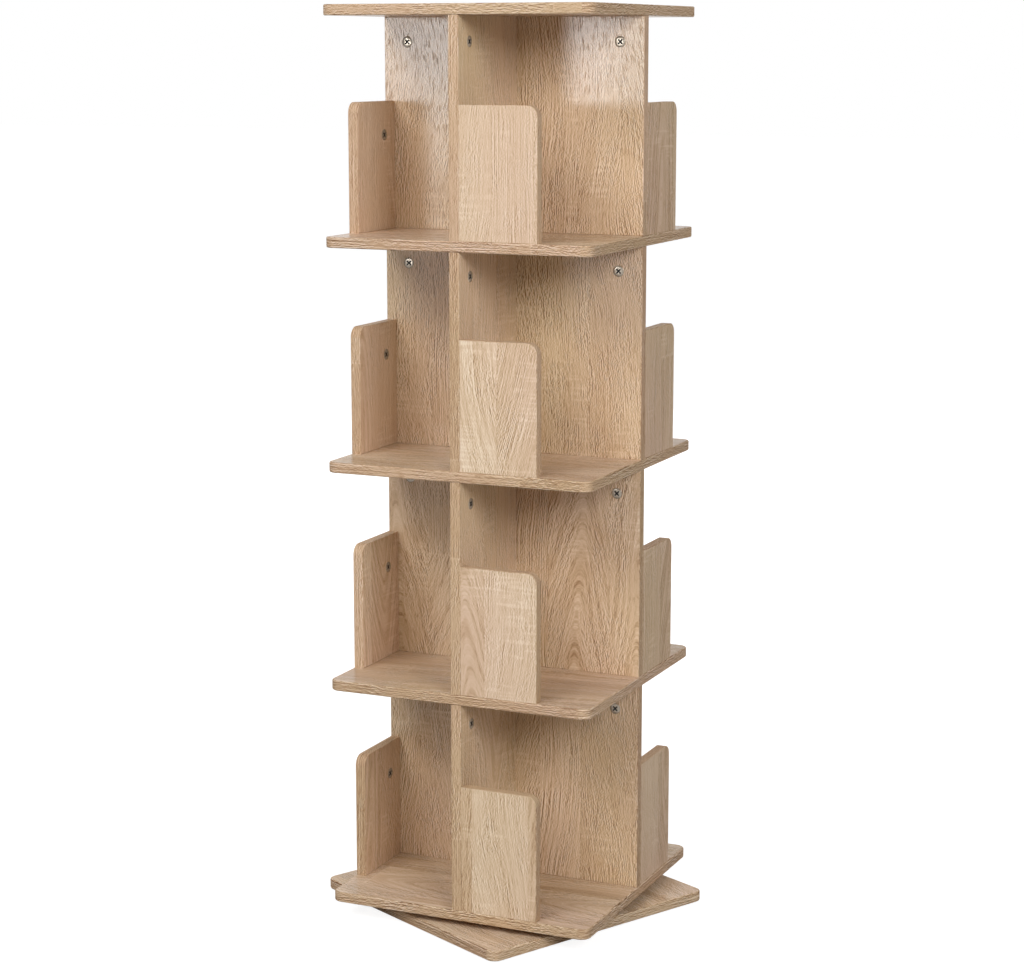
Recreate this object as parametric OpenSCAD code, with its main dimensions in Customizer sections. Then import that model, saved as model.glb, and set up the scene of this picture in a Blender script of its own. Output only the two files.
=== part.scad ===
// Revolving bookcase: a four-tier book tower of flat-pack board on a ball-race turntable.
// The origin is on the spin axis at floor level, +Z is up, -Y is the front and +X the right side.
// Each tier has a cross of dividers with four arms, and a low book stop on one side of each arm.
// Arm 0 points to the front, and arms 1, 2 and 3 follow it to the right, the back and the left.

/* [Boards] */
// Side of the square shelves, the top board and the base plate
board_side = 400; // [360:5:460]
// Thickness of every board
board_t = 15; // [14:0.5:19]
// Plan radius of the shelf and base corners
corner_r = 15; // [6:1:40]
// Rounding of the shelf and base arrises
arris_r = 2; // [0.5:0.25:4]
// Setback of dividers and stops from the shelf edge
edge_setback = 1; // [0.5:0.5:6]

/* [Tiers] */
// Clear height between two shelves
tier_clear = 300; // [260:5:360]

/* [Book stops] */
// Width of a stop, from the divider to its free edge
stop_w = 115; // [90:1:140]
// Height of a stop
stop_h = 182; // [160:1:230]
// Radius of a stop's free top corner
stop_corner_r = 15; // [5:1:40]

/* [Base] */
// Angle of the base plate under the tower at rest
base_turn = -26.75; // [-45:0.25:45]
// Thickness of the glide pads
pad_t = 2; // [1:0.5:5]
// Diameter of the glide pads
pad_d = 25; // [15:1:40]
// Distance of a pad's centre from both base edges
pad_inset = 30; // [22:1:60]

/* [Turntable] */
// Height of the turntable, the gap between base plate and bottom shelf
turntable_h = 10; // [9:0.5:14]
// Diameter of the circle that the balls run on
ball_circle_d = 220; // [180:5:260]
// Diameter of a ball
ball_d = 5; // [4:0.25:6]
// Number of balls
ball_count = 36; // [24:1:48]
// Radial width of each race ring
ring_w = 14; // [12:0.5:20]
// Radial gap between the two race rings
ring_gap = 2; // [1.6:0.1:3]
// Gap from a ring to the board that it isn't fixed to
ring_lift = 1; // [0.5:0.25:2]
// Wall of the ball cage
cage_wall = 1.2; // [0.8:0.1:1.4]
// Height of the ball cage
cage_h = 8; // [7:0.25:8.5]

/* [Cam fittings] */
// Diameter of a cam nut
cam_d = 15; // [12:0.5:18]
// Board left behind a cam nut
cam_floor = 2.5; // [1.5:0.25:4]
// Distance of a divider's cam from its outer end
cam_from_end = 36; // [25:1:60]
// Distance of a divider's cam from its top edge
cam_drop = 35; // [24:0.5:45]
// Height of a stop's cam above its shelf
stop_cam_z = 134.5; // [100:0.5:145]
// Distance of a stop's cam from the divider's face
stop_cam_reach = 33; // [24:0.5:45]
// Length of the cam nut's cross recess
cam_cross_l = 8.5; // [6:0.5:10]
// Width of the cam nut's cross recess
cam_cross_w = 1.8; // [1:0.1:2.5]
// Depth of the cam nut's cross recess
cam_cross_depth = 2; // [1:0.25:2.5]
// Shaft diameter of a cam bolt
bolt_d = 7; // [6:0.25:8]
// Neck diameter of a cam bolt
bolt_neck_d = 4.5; // [3.5:0.25:5]
// Head length of a cam bolt
bolt_head_l = 3.5; // [2.5:0.25:4]
// Thread diameter of a cam bolt
bolt_thread_d = 6; // [5:0.25:7]
// Thread length of a cam bolt
bolt_thread_l = 11; // [8:0.5:12]

/* [Dowels] */
// Diameter of the wooden dowels
dowel_d = 8; // [6:0.5:8]
// Distance of a top dowel from the spin axis
dowel_at = 95; // [85:1:110]
// Depth of a top dowel in the shelf above it
dowel_in_shelf = 10; // [6:0.5:11]
// Depth of a dowel in a divider's edge
dowel_in_edge = 18; // [12:0.5:30]
// Height of the lower centre dowel above its shelf
centre_dowel_low = 75; // [60:1:110]
// Height of the upper centre dowel above its shelf
centre_dowel_high = 225; // [190:1:235]

/* [Board screws] */
// Distance of the inner divider screw from the spin axis
inner_screw_at = 60; // [45:1:75]
// Distance of the outer divider screw from the spin axis
outer_screw_at = 130; // [118:1:140]
// Distance of a stop's screw from the divider's face
stop_screw_at = 75; // [50:1:80]
// Shank diameter of a board screw
screw_d = 6.5; // [5:0.25:7]
// Depth of a board screw in the divider or stop
screw_in_edge = 36; // [25:1:50]
// Head diameter of a board screw
screw_head_d = 10; // [8:0.5:11]
// Head height of a board screw
screw_head_h = 3; // [2:0.25:4]
// Width of the hexagon socket in a board screw
screw_socket_d = 4.6; // [3:0.2:6]

/* [Turntable screws] */
// Shank diameter of the machine screws through the base plate
base_screw_d = 5; // [4:0.25:6]
// Depth of those machine screws in the inner ring
base_screw_in_ring = 7; // [5:0.25:7.5]
// Head diameter of those machine screws
base_screw_head_d = 9; // [7:0.25:11]
// Head height of those machine screws
base_screw_head_h = 3; // [2:0.25:4]
// Width of the hexagon socket in those machine screws
base_screw_socket_d = 3.4; // [2.4:0.2:4.6]
// Shank diameter of the wood screws through the outer ring
ring_screw_d = 4; // [3:0.25:5]
// Depth of those wood screws in the bottom shelf
ring_screw_in_shelf = 9; // [6:0.25:11]
// Head diameter of those wood screws
ring_screw_head_d = 7.5; // [6:0.25:9]
// Head height of those wood screws
ring_screw_head_h = 2.5; // [1.5:0.25:3.5]
// Width of the hexagon socket in those wood screws
ring_screw_socket_d = 2.8; // [2:0.2:4]

/* [Clearances] */
// Gap between a fitting and the wall of its hole
fit_gap = 0.15; // [0.05:0.05:0.3]
// Gap beyond the end of a fitting in a blind hole
end_gap = 0.5; // [0.25:0.25:1]
// Depth of a screw head below the board's surface
head_sink = 0.5; // [0.25:0.25:1.5]
// Gap between a ball and its grooves and pocket
ball_gap = 0.2; // [0.1:0.05:0.3]

/* [Hidden] */
$fn = 48;
// overlap of a cut beyond the face that it opens
cut = 1;
tiers = [0 : 3];
arms = [0 : 3];
arm_names = ["front", "right", "back", "left"];
half = board_side / 2 - edge_setback;
tier_pitch = tier_clear + board_t;
base_top_z = pad_t + board_t;
ball_z = base_top_z + turntable_h / 2;
bottom_shelf_z = base_top_z + turntable_h;
ball_circle_r = ball_circle_d / 2;
inner_ring_r = ball_circle_r - ring_gap / 2;
outer_ring_r = ball_circle_r + ring_gap / 2;
inner_screw_r = inner_ring_r - ring_w / 2;
outer_screw_r = outer_ring_r + ring_w / 2;
ring_h = turntable_h - ring_lift;
ring_screw_places = [45 : 90 : 315];
cam_depth = board_t - cam_floor;
cam_from_axis = half - cam_from_end;
bolt_head_d = bolt_d - 2 * fit_gap;
dowel_l = dowel_in_shelf + dowel_in_edge;
centre_dowel_l = board_t + 2 * dowel_in_edge;
divider_screw_places = [inner_screw_at, outer_screw_at];
centre_dowel_places = [centre_dowel_low, centre_dowel_high];
screw_l = board_t - head_sink + screw_in_edge;
base_screw_l = board_t - head_sink + base_screw_in_ring;
ring_screw_l = ring_h - head_sink + ring_screw_in_shelf;
board_colour = "#cdb394";
zinc_colour = "#c9ccd0";
beech_colour = "#d8b483";

shelf_names = ["bottom_shelf", "second_shelf", "third_shelf", "fourth_shelf", "top_board"];
shelves = [0 : len(shelf_names) - 1];
top_shelf = len(shelf_names) - 1;

function shelf_z(s) = bottom_shelf_z + s * tier_pitch;
function tier_z(k) = shelf_z(k) + board_t;
function tier_name(k, piece) = str("tier", k + 1, "_", piece);
function stop_name(k, a) = tier_name(k, str(arm_names[a], "_stop"));
// the side of an arm that its cam nut shows on: the long divider has both of its own at the front
function cam_side(a) = a == 1 ? -1 : 1;

// profile of a rounded board edge, from the centre of the plan corner outwards
module edge_profile() {
    square([corner_r - arris_r, board_t]);
    translate([0, arris_r]) square([corner_r, board_t - 2 * arris_r]);
    for (z = [arris_r, board_t - arris_r]) translate([corner_r - arris_r, z]) circle(arris_r);
}

// square board with round corners and rounded arrises, its underside at z = 0
module board() {
    straight = board_side - 2 * corner_r;
    translate([-straight / 2, -straight / 2, 0]) cube([straight, straight, board_t]);
    for (turn = [0 : 90 : 270]) rotate(turn) {
        translate([straight / 2, straight / 2, 0]) rotate_extrude(angle = 90) edge_profile();
        translate([straight / 2, straight / 2, 0]) rotate([90, 0, 0]) linear_extrude(straight) edge_profile();
    }
}

// screw along +Z with its head's outer face at z = 0
module screw(d, l, head_d, head_h, socket_d) {
    difference() {
        union() {
            cylinder(d = head_d, h = head_h);
            cylinder(d = d, h = l);
        }
        translate([0, 0, -cut]) cylinder(d = socket_d, h = cut + head_h / 2, $fn = 6);
    }
}

// hole for such a screw, with its head sunk into the face below it
module screw_hole(d, l, head_d, head_h) {
    cylinder(d = d + 2 * fit_gap, h = l + end_gap);
    translate([0, 0, -head_sink - cut]) cylinder(d = head_d + 2 * fit_gap, h = head_sink + cut + head_h);
}

module board_screw() {
    screw(screw_d, screw_l, screw_head_d, screw_head_h, screw_socket_d);
}

module board_screw_hole() {
    screw_hole(screw_d, screw_l, screw_head_d, screw_head_h);
}

// dowel or its hole along +Z, from the depth in one board to the depth in the other
module dowel(below, above, gap, tip) {
    translate([0, 0, -below - tip]) cylinder(d = dowel_d + 2 * gap, h = below + above + 2 * tip);
}

// cam bolt along +Z: its thread lies below the joint plane, its head at the reach of the cam
module cam_bolt(reach) {
    shaft_l = reach - cam_d / 2 - fit_gap;
    translate([0, 0, -bolt_thread_l]) cylinder(d = bolt_thread_d, h = bolt_thread_l);
    cylinder(d = bolt_d, h = shaft_l);
    cylinder(d = bolt_neck_d, h = reach);
    translate([0, 0, reach - bolt_head_l / 2]) cylinder(d = bolt_head_d, h = bolt_head_l);
}

// hole for the bolt's thread, in the board below the joint plane
module cam_thread_hole() {
    depth = bolt_thread_l + end_gap;
    translate([0, 0, -depth]) cylinder(d = bolt_thread_d + 2 * fit_gap, h = depth + cut);
}

// bolt bore and cam pocket in the other board, the cam's face turned to +X at half the board
module cam_hole(reach) {
    translate([0, 0, -cut]) cylinder(d = bolt_d + 2 * fit_gap, h = reach + cut);
    translate([board_t / 2 - cam_depth - fit_gap, 0, reach]) rotate([0, 90, 0])
        cylinder(d = cam_d + 2 * fit_gap, h = cam_depth + fit_gap + cut);
}

// cam nut for that pocket: a drum with a cross recess and a radial bore for the bolt's head
module cam_nut(reach) {
    face = board_t / 2;
    head_room = bolt_head_l / 2 + fit_gap;
    translate([0, 0, reach]) difference() {
        translate([face - cam_depth, 0, 0]) rotate([0, 90, 0]) cylinder(d = cam_d, h = cam_depth);
        translate([0, 0, -cam_d]) cylinder(d = bolt_d + 2 * fit_gap, h = cam_d + head_room);
        for (turn = [45, 135]) rotate([turn, 0, 0])
            translate([face - cam_cross_depth, -cam_cross_l / 2, -cam_cross_w / 2])
                cube([cam_cross_depth + cut, cam_cross_l, cam_cross_w]);
    }
}

// places the children on one arm of a tier, with z = 0 on the tier's shelf
module on_arm(k, a) {
    translate([0, 0, tier_z(k)]) rotate(90 * a) children();
}

// places a top fitting of an arm: +Z points down from the divider's top edge
module at_top(from_axis, side) {
    translate([0, -from_axis, tier_clear]) rotate([180, 0, side > 0 ? 0 : 180]) children();
}

// places a divider screw: +Z points up from the sunk head in the shelf
module at_arm_screw(from_axis) {
    translate([0, -from_axis, head_sink - board_t]) children();
}

// places the stop's cam fitting: +Z points from the arm's face along the stop, +X to its inner face
module at_stop_cam() {
    translate([board_t / 2, board_t / 2 - half, stop_cam_z]) rotate([90, 0, 90]) children();
}

// places the stop's screw: +Z points up from the sunk head in the shelf
module at_stop_screw() {
    translate([board_t / 2 + stop_screw_at, board_t / 2 - half, head_sink - board_t]) children();
}

// everything drilled into the divider of one arm
module arm_holes(a) {
    at_top(cam_from_axis, cam_side(a)) cam_hole(cam_drop);
    at_top(dowel_at, 1) dowel(0, dowel_in_edge, fit_gap, end_gap);
    for (place = divider_screw_places) at_arm_screw(place) board_screw_hole();
    at_stop_cam() cam_thread_hole();
}

// dowels through the long divider, or their holes
module centre_dowel_row(gap, tip) {
    for (z = centre_dowel_places) translate([0, 0, z]) rotate([90, 0, 0])
        dowel(centre_dowel_l / 2, centre_dowel_l / 2, gap, tip);
}

module base_plate() {
    color(board_colour) rotate(base_turn) translate([0, 0, pad_t]) difference() {
        board();
        for (turn = ring_screw_places) rotate(turn) translate([inner_screw_r, 0, head_sink])
            screw_hole(base_screw_d, base_screw_l, base_screw_head_d, base_screw_head_h);
    }
}

module base_glide_pads() {
    reach = board_side / 2 - pad_inset;
    color("dimgray") rotate(base_turn) for (x = [-reach, reach], y = [-reach, reach])
        translate([x, y, 0]) cylinder(d = pad_d, h = pad_t);
}

// groove that the balls run in
module ball_groove() {
    translate([ball_circle_r, ball_z]) circle(d = ball_d + 2 * ball_gap);
}

module turntable_inner_ring() {
    color("silver") difference() {
        rotate_extrude() difference() {
            translate([inner_ring_r - ring_w, base_top_z]) square([ring_w, ring_h]);
            ball_groove();
        }
        for (turn = ring_screw_places) rotate(base_turn + turn)
            translate([inner_screw_r, 0, base_top_z - cut])
                cylinder(d = base_screw_d + 2 * fit_gap, h = turntable_h + 2 * cut);
    }
}

module base_ring_screws() {
    color(zinc_colour) for (turn = ring_screw_places) rotate(base_turn + turn)
        translate([inner_screw_r, 0, pad_t + head_sink])
            screw(base_screw_d, base_screw_l, base_screw_head_d, base_screw_head_h, base_screw_socket_d);
}

// places the children on every ball of the race
module at_each_ball() {
    for (i = [0 : ball_count - 1]) rotate(360 * i / ball_count)
        translate([ball_circle_r, 0, ball_z]) children();
}

module ball_cage() {
    color("ivory") difference() {
        rotate_extrude() translate([ball_circle_r - cage_wall / 2, ball_z - cage_h / 2])
            square([cage_wall, cage_h]);
        at_each_ball() rotate([0, 90, 0]) cylinder(d = ball_d + 2 * ball_gap, h = ring_gap, center = true);
    }
}

module race_balls() {
    color("gainsboro") at_each_ball() sphere(d = ball_d);
}

module turntable_outer_ring() {
    color("silver") difference() {
        rotate_extrude() difference() {
            translate([outer_ring_r, base_top_z + ring_lift]) square([ring_w, ring_h]);
            ball_groove();
        }
        for (turn = ring_screw_places) rotate(turn) at_ring_screw()
            screw_hole(ring_screw_d, ring_screw_l, ring_screw_head_d, ring_screw_head_h);
    }
}

// places a wood screw of the outer ring: +Z points up from its sunk head
module at_ring_screw() {
    translate([outer_screw_r, 0, base_top_z + ring_lift + head_sink]) children();
}

module shelf_ring_screws() {
    color(zinc_colour) for (turn = ring_screw_places) rotate(turn) at_ring_screw()
        screw(ring_screw_d, ring_screw_l, ring_screw_head_d, ring_screw_head_h, ring_screw_socket_d);
}

// one shelf, drilled for the tier that stands on it and for the tier that hangs its fittings below it
module shelf(s) {
    color(board_colour) difference() {
        translate([0, 0, shelf_z(s)]) board();
        if (s < top_shelf) for (a = arms) on_arm(s, a) {
            for (place = divider_screw_places) at_arm_screw(place) board_screw_hole();
            at_stop_screw() board_screw_hole();
        }
        if (s > 0) for (a = arms) on_arm(s - 1, a) {
            at_top(cam_from_axis, cam_side(a)) cam_thread_hole();
            at_top(dowel_at, 1) dowel(dowel_in_shelf, 0, fit_gap, end_gap);
        }
        if (s == 0) for (turn = ring_screw_places) rotate(turn) at_ring_screw()
            screw_hole(ring_screw_d, ring_screw_l, ring_screw_head_d, ring_screw_head_h);
    }
}

module long_divider(k) {
    color(board_colour) difference() {
        translate([-half, -board_t / 2, tier_z(k)]) cube([2 * half, board_t, tier_clear]);
        for (a = [1, 3]) on_arm(k, a) arm_holes(a);
        on_arm(k, 0) centre_dowel_row(fit_gap, end_gap);
    }
}

module half_divider(k, a) {
    color(board_colour) on_arm(k, a) difference() {
        translate([-board_t / 2, -half, 0]) cube([board_t, half - board_t / 2, tier_clear]);
        arm_holes(a);
        centre_dowel_row(fit_gap, end_gap);
    }
}

module stop(k, a) {
    color(board_colour) on_arm(k, a) difference() {
        translate([board_t / 2, board_t - half, 0]) rotate([90, 0, 0]) linear_extrude(board_t) {
            square([stop_w, stop_h - stop_corner_r]);
            square([stop_w - stop_corner_r, stop_h]);
            translate([stop_w - stop_corner_r, stop_h - stop_corner_r]) circle(stop_corner_r);
        }
        at_stop_cam() cam_hole(stop_cam_reach);
        at_stop_screw() board_screw_hole();
    }
}

module divider_cam_nuts() {
    color(zinc_colour) for (k = tiers, a = arms) on_arm(k, a)
        at_top(cam_from_axis, cam_side(a)) cam_nut(cam_drop);
}

module divider_cam_bolts() {
    color(zinc_colour) for (k = tiers, a = arms) on_arm(k, a)
        at_top(cam_from_axis, cam_side(a)) cam_bolt(cam_drop);
}

module divider_top_dowels() {
    color(beech_colour) for (k = tiers, a = arms) on_arm(k, a) at_top(dowel_at, 1)
        dowel(dowel_in_shelf, dowel_in_edge, 0, 0);
}

module divider_screws() {
    color(zinc_colour) for (k = tiers, a = arms, place = divider_screw_places) on_arm(k, a)
        at_arm_screw(place) board_screw();
}

module centre_dowels() {
    color(beech_colour) for (k = tiers) on_arm(k, 0) centre_dowel_row(0, 0);
}

module stop_cam_nuts() {
    color(zinc_colour) for (k = tiers, a = arms) on_arm(k, a) at_stop_cam() cam_nut(stop_cam_reach);
}

module stop_cam_bolts() {
    color(zinc_colour) for (k = tiers, a = arms) on_arm(k, a) at_stop_cam() cam_bolt(stop_cam_reach);
}

module stop_screws() {
    color(zinc_colour) for (k = tiers, a = arms) on_arm(k, a) at_stop_screw() board_screw();
}

base_plate();
base_glide_pads();
turntable_inner_ring();
base_ring_screws();
ball_cage();
race_balls();
turntable_outer_ring();
shelf_ring_screws();
for (s = shelves) shelf(s);
for (k = tiers) long_divider(k);
for (k = tiers) half_divider(k, 0);
for (k = tiers) half_divider(k, 2);
for (k = tiers, a = arms) stop(k, a);
divider_cam_nuts();
divider_cam_bolts();
divider_top_dowels();
divider_screws();
centre_dowels();
stop_cam_nuts();
stop_cam_bolts();
stop_screws();
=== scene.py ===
import math

import bmesh
import bpy
from mathutils import Matrix, Vector


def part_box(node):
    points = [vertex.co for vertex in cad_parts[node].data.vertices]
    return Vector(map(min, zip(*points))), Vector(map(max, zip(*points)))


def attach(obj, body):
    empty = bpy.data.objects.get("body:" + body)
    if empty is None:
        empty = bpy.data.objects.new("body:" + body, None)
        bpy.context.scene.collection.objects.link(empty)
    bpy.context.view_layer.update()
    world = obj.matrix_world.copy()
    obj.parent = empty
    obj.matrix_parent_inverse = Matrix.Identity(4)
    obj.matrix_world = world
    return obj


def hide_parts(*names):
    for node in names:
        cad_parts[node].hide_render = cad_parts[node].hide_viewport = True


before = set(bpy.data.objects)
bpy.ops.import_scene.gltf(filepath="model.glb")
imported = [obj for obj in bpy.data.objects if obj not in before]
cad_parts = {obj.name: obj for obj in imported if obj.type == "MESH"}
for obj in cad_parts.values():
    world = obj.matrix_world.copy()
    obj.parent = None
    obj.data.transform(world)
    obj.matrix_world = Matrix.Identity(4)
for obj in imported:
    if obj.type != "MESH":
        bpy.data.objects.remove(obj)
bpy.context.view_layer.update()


# Camera
# A standing viewer looks at the bookcase from the front right, tipped a little down on it.
# The long lens, about 85 mm on a 36 mm frame, keeps the uprights almost parallel.
mm = 0.001
picture_width_px = 1024
focal_length_px = 2421.4
film_width = 36
view_turn = math.radians(24.03)
view_tip = math.radians(10.16)
view_distance = 3502.6 * mm
aim_height = 626.1 * mm
aim_aside = -2.6 * mm

view_right = Vector((math.cos(view_turn), math.sin(view_turn), 0))
view_back = Vector((
    math.sin(view_turn) * math.cos(view_tip),
    -math.cos(view_turn) * math.cos(view_tip),
    math.sin(view_tip),
))
camera_data = bpy.data.cameras.new("viewer")
camera_data.sensor_width = film_width
camera_data.lens = film_width * focal_length_px / picture_width_px
camera = bpy.data.objects.new("viewer", camera_data)
camera.location = aim_aside * view_right + Vector((0, 0, aim_height)) + view_distance * view_back
camera.rotation_euler = (-view_back).to_track_quat("-Z", "Y").to_euler()
bpy.context.scene.collection.objects.link(camera)
bpy.context.scene.camera = camera


# Glide pads
# Four round pads of dark pressed felt, punched from sheet and stuck under the corners of the base plate.
# Their edges are a little crushed, and the fibres stand out in the light.
base_turn = math.radians(-26.75)
pad_radius = 12.5 * mm
pad_thickness = 2 * mm
pad_reach = 170 * mm
pad_segments = 48
# waves in the punched edge: how many there are, how high as a share of the radius, and where they start
punch_waves = [(7, 0.007, 0), (17, 0.005, 1)]
felt_dark = "#2b2725"
felt_light = "#4d4743"
felt_fibres_per_metre = 2600
felt_patches_per_metre = 260
felt_nap = 0.3 * mm


def paint(code):
    """Linear colour of a six-digit screen colour."""
    parts = [int(code[i:i + 2], 16) / 255 for i in (1, 3, 5)]
    return [p / 12.92 if p <= 0.04045 else ((p + 0.055) / 1.055) ** 2.4 for p in parts] + [1]


def add_step(tree, kind, inputs, **settings):
    """One shader node: settings are its options, inputs its values or the sockets that feed them."""
    step = tree.nodes.new(kind)
    for option, value in settings.items():
        setattr(step, option, value)
    for socket, value in inputs.items():
        if isinstance(value, bpy.types.NodeSocket):
            tree.links.new(value, step.inputs[socket])
        else:
            step.inputs[socket].default_value = value
    return step


def calc(tree, operation, first, second=0.0):
    """Output of one sum in a shader."""
    return add_step(tree, "ShaderNodeMath", {0: first, 1: second}, operation=operation).outputs[0]


def average(tree, first, second):
    """Output half way between two values in a shader."""
    return calc(tree, "MULTIPLY", calc(tree, "ADD", first, second), 0.5)


def place_on_piece(tree):
    """Where on its piece a point lies, in metres."""
    return add_step(tree, "ShaderNodeTexCoord", {}).outputs["Object"]


def noise(tree, vector, scale, detail=2.0, roughness=0.5):
    """Output of one noise in a shader, about 0.5 in the middle."""
    inputs = {"Vector": vector, "Scale": scale, "Detail": detail, "Roughness": roughness}
    return add_step(tree, "ShaderNodeTexNoise", inputs).outputs["Fac"]


def tint(tree, factor, stops):
    """Colours along a ramp: stops are pairs of a place from 0 to 1 and a screen colour."""
    step = add_step(tree, "ShaderNodeValToRGB", {"Fac": factor})
    ramp = step.color_ramp.elements
    for place, _ in stops[2:]:
        ramp.new(place)
    for element, (place, code) in zip(ramp, sorted(stops)):
        element.position = place
        element.color = paint(code)
    return step.outputs["Color"]


def new_finish(name):
    """An empty material with a principled shader, as (material, its tree, the shader)."""
    finish = bpy.data.materials.new(name)
    finish.use_nodes = True
    tree = finish.node_tree
    tree.nodes.clear()
    shader = tree.nodes.new("ShaderNodeBsdfPrincipled")
    result = tree.nodes.new("ShaderNodeOutputMaterial")
    tree.links.new(shader.outputs["BSDF"], result.inputs["Surface"])
    return finish, tree, shader


def emboss(tree, shader, height, depth, strength):
    """Raises the shader's surface by a height from 0 to 1, depth metres deep."""
    inputs = {"Height": height, "Distance": depth, "Strength": strength}
    tree.links.new(add_step(tree, "ShaderNodeBump", inputs).outputs["Normal"], shader.inputs["Normal"])


def pressed_felt():
    """Dark felt, patchy from the press, in which single fibres catch the light."""
    finish, tree, shader = new_finish("pressed_felt")
    place = place_on_piece(tree)
    fibres = noise(tree, place, felt_fibres_per_metre, detail=4, roughness=0.7)
    patches = noise(tree, place, felt_patches_per_metre)
    shades = [(0.25, felt_dark), (0.75, felt_light)]
    tree.links.new(tint(tree, average(tree, fibres, patches), shades), shader.inputs["Base Color"])
    shader.inputs["Roughness"].default_value = 0.95
    shader.inputs["Sheen Weight"].default_value = 0.4
    emboss(tree, shader, fibres, felt_nap, strength=0.6)
    return finish


def as_mesh(name, solid):
    """Mesh of a solid that is ready."""
    mesh = bpy.data.meshes.new(name)
    solid.to_mesh(mesh)
    solid.free()
    return mesh


def show(name, mesh, finishes, body, slot, *nodes):
    """Puts a finished mesh into the scene: what it is made of, what it moves with, what it stands for."""
    for finish in finishes:
        mesh.materials.append(finish)
    piece = bpy.data.objects.new(name, mesh)
    bpy.context.scene.collection.objects.link(piece)
    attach(piece, body)
    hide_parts(*nodes)
    return piece


def turn_profile(solid, profile, segments, place, swell=None):
    """Turns a profile of (radius, height) points, given from the bottom up, into a closed round solid."""
    rings = []
    for radius, height in profile:
        ring = []
        for i in range(segments):
            angle = 2 * math.pi * i / segments
            reach = radius * (swell(angle) if swell else 1)
            point = Vector((reach * math.cos(angle), reach * math.sin(angle), height))
            ring.append(solid.verts.new(place @ point))
        rings.append(ring)
    for lower, upper in zip(rings, rings[1:]):
        for i in range(segments):
            j = (i + 1) % segments
            solid.faces.new((lower[i], lower[j], upper[j], upper[i])).smooth = True
    solid.faces.new(reversed(rings[0]))
    solid.faces.new(rings[-1])


def felt_edge(angle):
    """The slightly uneven outline that punching leaves on felt, never beyond the pad's own radius."""
    reach = 1
    for count, height, start in punch_waves:
        reach += height * (math.sin(count * angle + start) - 1)
    return reach


pad_profile = [
    (pad_radius - 0.7 * mm, 0),
    (pad_radius - 0.2 * mm, 0.3 * mm),
    (pad_radius, 1.0 * mm),
    (pad_radius - 0.1 * mm, 1.7 * mm),
    (pad_radius - 0.4 * mm, pad_thickness),
]
pads = bmesh.new()
for across in (-pad_reach, pad_reach):
    for along in (-pad_reach, pad_reach):
        pad_place = Matrix.Rotation(base_turn, 4, "Z") @ Matrix.Translation((across, along, 0))
        turn_profile(pads, pad_profile, pad_segments, pad_place, felt_edge)
pad_mesh = as_mesh("felt_glide_pads", pads)
show("felt_glide_pads", pad_mesh, [pressed_felt()], "base", "felt_pad", "base_glide_pads")


# Base plate
# A square of 15 mm particle board faced with a pale oak print, its edges banded and rounded over.
# It lies still under the tower, some 27 degrees askew, on the four felt pads.
board_side = 400 * mm
board_thickness = 15 * mm
shelf_corner = 15 * mm
shelf_arris = 2 * mm
corner_steps = 10
arris_steps = 4
sharp_bend_of_board = math.radians(50)
# a hair under size, because its finely rounded corners would stand just proud of the plate's box
base_side = board_side - 0.1 * mm
base_screw_circle = 102 * mm
base_screw_pocket = 4.65 * mm
base_screw_sunk = 3.5 * mm
ring_screw_turns = [math.radians(45 + 90 * i) for i in range(4)]
pocket_segments = 40
pocket_rim = 0.25 * mm
lower_face = -1
upper_face = 1
# a board's finishes in order: the print on its faces, the bare core in its pockets, the band on its edges
core_finish = 1
band_finish = 2
# a board's number picks its print; its upper face and its band each take a part more
base_print = 1
upper_part = 0.25
band_part = 0.5
oak_pore = "#7d5f46"
oak_dark = "#a98768"
oak_middle = "#ceb296"
oak_light = "#dfc7af"
oak_pale = "#efdecd"
oak_rosy = "#fffbfa"
oak_straw = "#fdfdf5"
core_dark = "#5d452c"
core_light = "#a98a5f"
core_chips_per_metre = 700
core_relief = 0.4 * mm


def board_outline(half_across, half_along, corner_radii, inset):
    """Ring of plan points, anticlockwise from the (+, +) corner. A square corner is one point."""
    points = []
    sides = ((1, 1), (-1, 1), (-1, -1), (1, -1))
    for quarter, ((across, along), corner) in enumerate(zip(sides, corner_radii)):
        radius = max(corner - inset, 0)
        centre = Vector((across * (half_across - inset - radius), along * (half_along - inset - radius)))
        steps = corner_steps if corner else 0
        for step in range(steps + 1):
            angle = math.pi / 2 * (quarter + step / max(steps, 1))
            points.append(centre + radius * Vector((math.cos(angle), math.sin(angle))))
    return points


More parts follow.
